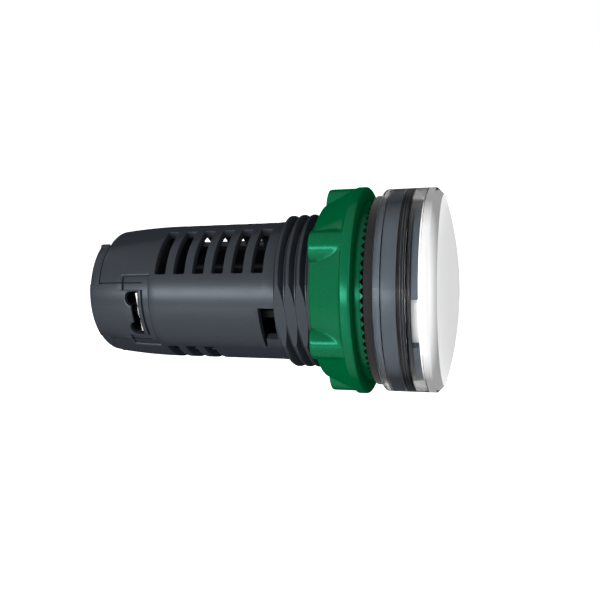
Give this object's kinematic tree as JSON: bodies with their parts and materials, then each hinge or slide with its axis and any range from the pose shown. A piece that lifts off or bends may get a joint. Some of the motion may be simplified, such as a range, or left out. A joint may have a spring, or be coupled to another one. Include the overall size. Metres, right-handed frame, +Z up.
{
  "type": "panel pilot light",
  "caption": "Round panel pilot light: clear domed lens on a ringed head, threaded barrel with cooling vents, green ribbed fixing nut with a toothed ring, and screw terminals at the rear.",
  "frame": {"origin": "centre of the panel hole, on the panel's front face where the gasket seats", "axes": "the lens faces -Y, the terminals +Y, +Z is up, and the wire entries face -X and +X"},
  "size_m": [0.0288, 0.0518, 0.0288],
  "materials": {
    "housing": "fine-grained moulded polyamide, dark grey",
    "nut": "satin moulded polyamide, green",
    "rubber": "matt black elastomer",
    "diffuser": "opal white",
    "lens": "clear polished polycarbonate",
    "light_board": "white solder mask",
    "light_chip": "white body with a yellow phosphor window",
    "board": "green solder mask",
    "film_case": "dark moulded case",
    "can_sleeve": "dark sleeve",
    "varistor_coat": "dipped coating",
    "resistor_coat": "lacquered body",
    "brass": "nickel-plated brass",
    "steel": "zinc-plated steel"
  },
  "bodies": {
    "housing": {"barrel_housing": "housing", "terminal_block": "housing", "panel_gasket": "rubber", "lens_seal": "rubber", "diffuser": "diffuser", "lens_cap": "lens", "led_board": "light_board", "led_chips": "light_chip", "power_board": "board", "dropper_capacitor": "film_case", "smoothing_capacitor": "can_sleeve", "bridge_rectifier": "film_case", "varistor": "varistor_coat", "series_resistor": "resistor_coat", "bleed_resistor": "resistor_coat", "board_link": "rubber", "terminal_plate_left": "brass", "terminal_plate_right": "brass"},
    "ring": {"grip_ring": "nut"},
    "nut": {"fixing_nut": "nut"},
    "left_clamp": {"clamp_plate_left": "steel"},
    "right_clamp": {"clamp_plate_right": "steel"},
    "left_screw": {"terminal_screw_left": "steel"},
    "right_screw": {"terminal_screw_right": "steel"}
  },
  "joints": [
    {"name": "nut_travel", "type": "slide", "parent": "housing", "child": "ring", "axis": [0, 1, 0], "range_m": [0, 0.006]},
    {"name": "nut_turn", "type": "hinge", "parent": "ring", "child": "nut", "pos_m": [0, 0, 0], "axis": [0, 1, 0], "range_deg": [0, 1440]},
    {"name": "left_clamp_travel", "type": "slide", "parent": "housing", "child": "left_clamp", "axis": [0, -1, 0], "range_m": [0, 0.0015]},
    {"name": "left_screw_turn", "type": "hinge", "parent": "left_clamp", "child": "left_screw", "pos_m": [-0.0059, 0, 0], "axis": [0, -1, 0], "range_deg": [0, 1080]},
    {"name": "right_clamp_travel", "type": "slide", "parent": "housing", "child": "right_clamp", "axis": [0, -1, 0], "range_m": [0, 0.0015]},
    {"name": "right_screw_turn", "type": "hinge", "parent": "right_clamp", "child": "right_screw", "pos_m": [0.0059, 0, 0], "axis": [0, -1, 0], "range_deg": [0, 1080]}
  ],
  "couplings": [
    {"joint": "nut_travel", "follows": "nut_turn", "m_per_rad": 0.00023873},
    {"joint": "left_screw_turn", "follows": "left_clamp_travel", "rad_per_m": 12566},
    {"joint": "right_screw_turn", "follows": "right_clamp_travel", "rad_per_m": 12566}
  ]
}
